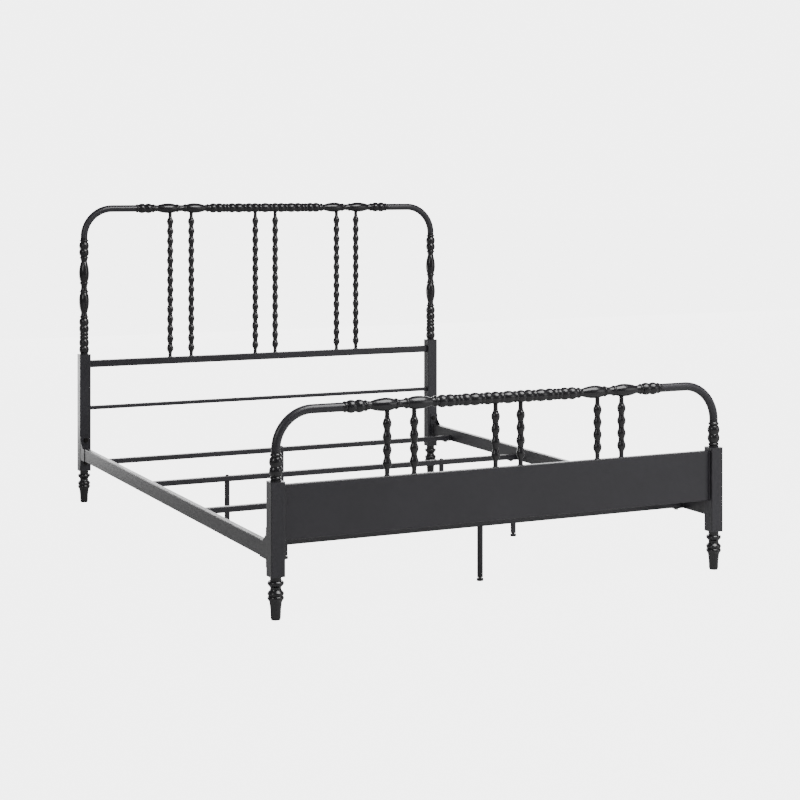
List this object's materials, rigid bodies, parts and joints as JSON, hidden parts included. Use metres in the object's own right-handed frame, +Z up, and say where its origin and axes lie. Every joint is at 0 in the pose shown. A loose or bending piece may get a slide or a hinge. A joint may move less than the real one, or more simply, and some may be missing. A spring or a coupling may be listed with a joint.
{
  "type": "spool bed frame",
  "caption": "Black metal spool bed frame for a queen mattress, with rounded head and foot hoops, beaded spindles, a plain foot panel, box rails and slats on support legs.",
  "frame": {"origin": "on the floor under the middle of the bed, at the middle of its footprint", "axes": "+Z up; Y along the bed with the head at +Y and the foot at -Y; X across it, with +X on the right seen from the foot"},
  "size_m": [1.6048, 2.1484, 1.1989],
  "materials": {
    "powder_coat": "satin black powder coat",
    "coated_castings": "satin black powder coat over cast aluminium",
    "zinc_steel": "zinc plated",
    "black_plastic": "moulded matt"
  },
  "bodies": {
    "bed_frame": {"head_post_left": "powder_coat", "head_bend_left": "powder_coat", "head_post_right": "powder_coat", "head_bend_right": "powder_coat", "foot_post_left": "powder_coat", "foot_bend_left": "powder_coat", "foot_post_right": "powder_coat", "foot_bend_right": "powder_coat", "post_end_plates": "powder_coat", "head_upper_bar": "powder_coat", "head_lower_bar": "powder_coat", "foot_panel": "powder_coat", "side_rail_left": "powder_coat", "side_rail_right": "powder_coat", "rail_brackets": "powder_coat", "slat_clips": "powder_coat", "slat_1": "powder_coat", "slat_2": "powder_coat", "slat_3": "powder_coat", "slat_4": "powder_coat", "support_leg_1": "powder_coat", "support_leg_2": "powder_coat", "support_leg_3": "powder_coat", "support_leg_4": "powder_coat", "support_leg_5": "powder_coat", "support_leg_6": "powder_coat", "head_column_left": "coated_castings", "head_turned_leg_left": "coated_castings", "head_column_right": "coated_castings", "head_turned_leg_right": "coated_castings", "head_top_rail": "coated_castings", "head_spindle_1": "coated_castings", "head_spindle_2": "coated_castings", "head_spindle_3": "coated_castings", "head_spindle_4": "coated_castings", "head_spindle_5": "coated_castings", "head_spindle_6": "coated_castings", "foot_column_left": "coated_castings", "foot_turned_leg_left": "coated_castings", "foot_column_right": "coated_castings", "foot_turned_leg_right": "coated_castings", "foot_top_rail": "coated_castings", "foot_spindle_1": "coated_castings", "foot_spindle_2": "coated_castings", "foot_spindle_3": "coated_castings", "foot_spindle_4": "coated_castings", "foot_spindle_5": "coated_castings", "foot_spindle_6": "coated_castings", "rail_bolts": "zinc_steel", "weld_nuts": "zinc_steel", "slat_bolts": "zinc_steel", "leg_bolts": "zinc_steel", "leg_plugs": "zinc_steel", "turned_leg_pads": "black_plastic"},
    "glide_1": {"leg_glide_1": "black_plastic"},
    "glide_2": {"leg_glide_2": "black_plastic"},
    "glide_3": {"leg_glide_3": "black_plastic"},
    "glide_4": {"leg_glide_4": "black_plastic"},
    "glide_5": {"leg_glide_5": "black_plastic"},
    "glide_6": {"leg_glide_6": "black_plastic"}
  },
  "joints": [
    {"name": "glide_1_height", "type": "slide", "parent": "bed_frame", "child": "glide_1", "axis": [0, 0, 1], "range_m": [-0.006, 0.0035]},
    {"name": "glide_2_height", "type": "slide", "parent": "bed_frame", "child": "glide_2", "axis": [0, 0, 1], "range_m": [-0.006, 0.0035]},
    {"name": "glide_3_height", "type": "slide", "parent": "bed_frame", "child": "glide_3", "axis": [0, 0, 1], "range_m": [-0.006, 0.0035]},
    {"name": "glide_4_height", "type": "slide", "parent": "bed_frame", "child": "glide_4", "axis": [0, 0, 1], "range_m": [-0.006, 0.0035]},
    {"name": "glide_5_height", "type": "slide", "parent": "bed_frame", "child": "glide_5", "axis": [0, 0, 1], "range_m": [-0.006, 0.0035]},
    {"name": "glide_6_height", "type": "slide", "parent": "bed_frame", "child": "glide_6", "axis": [0, 0, 1], "range_m": [-0.006, 0.0035]}
  ]
}
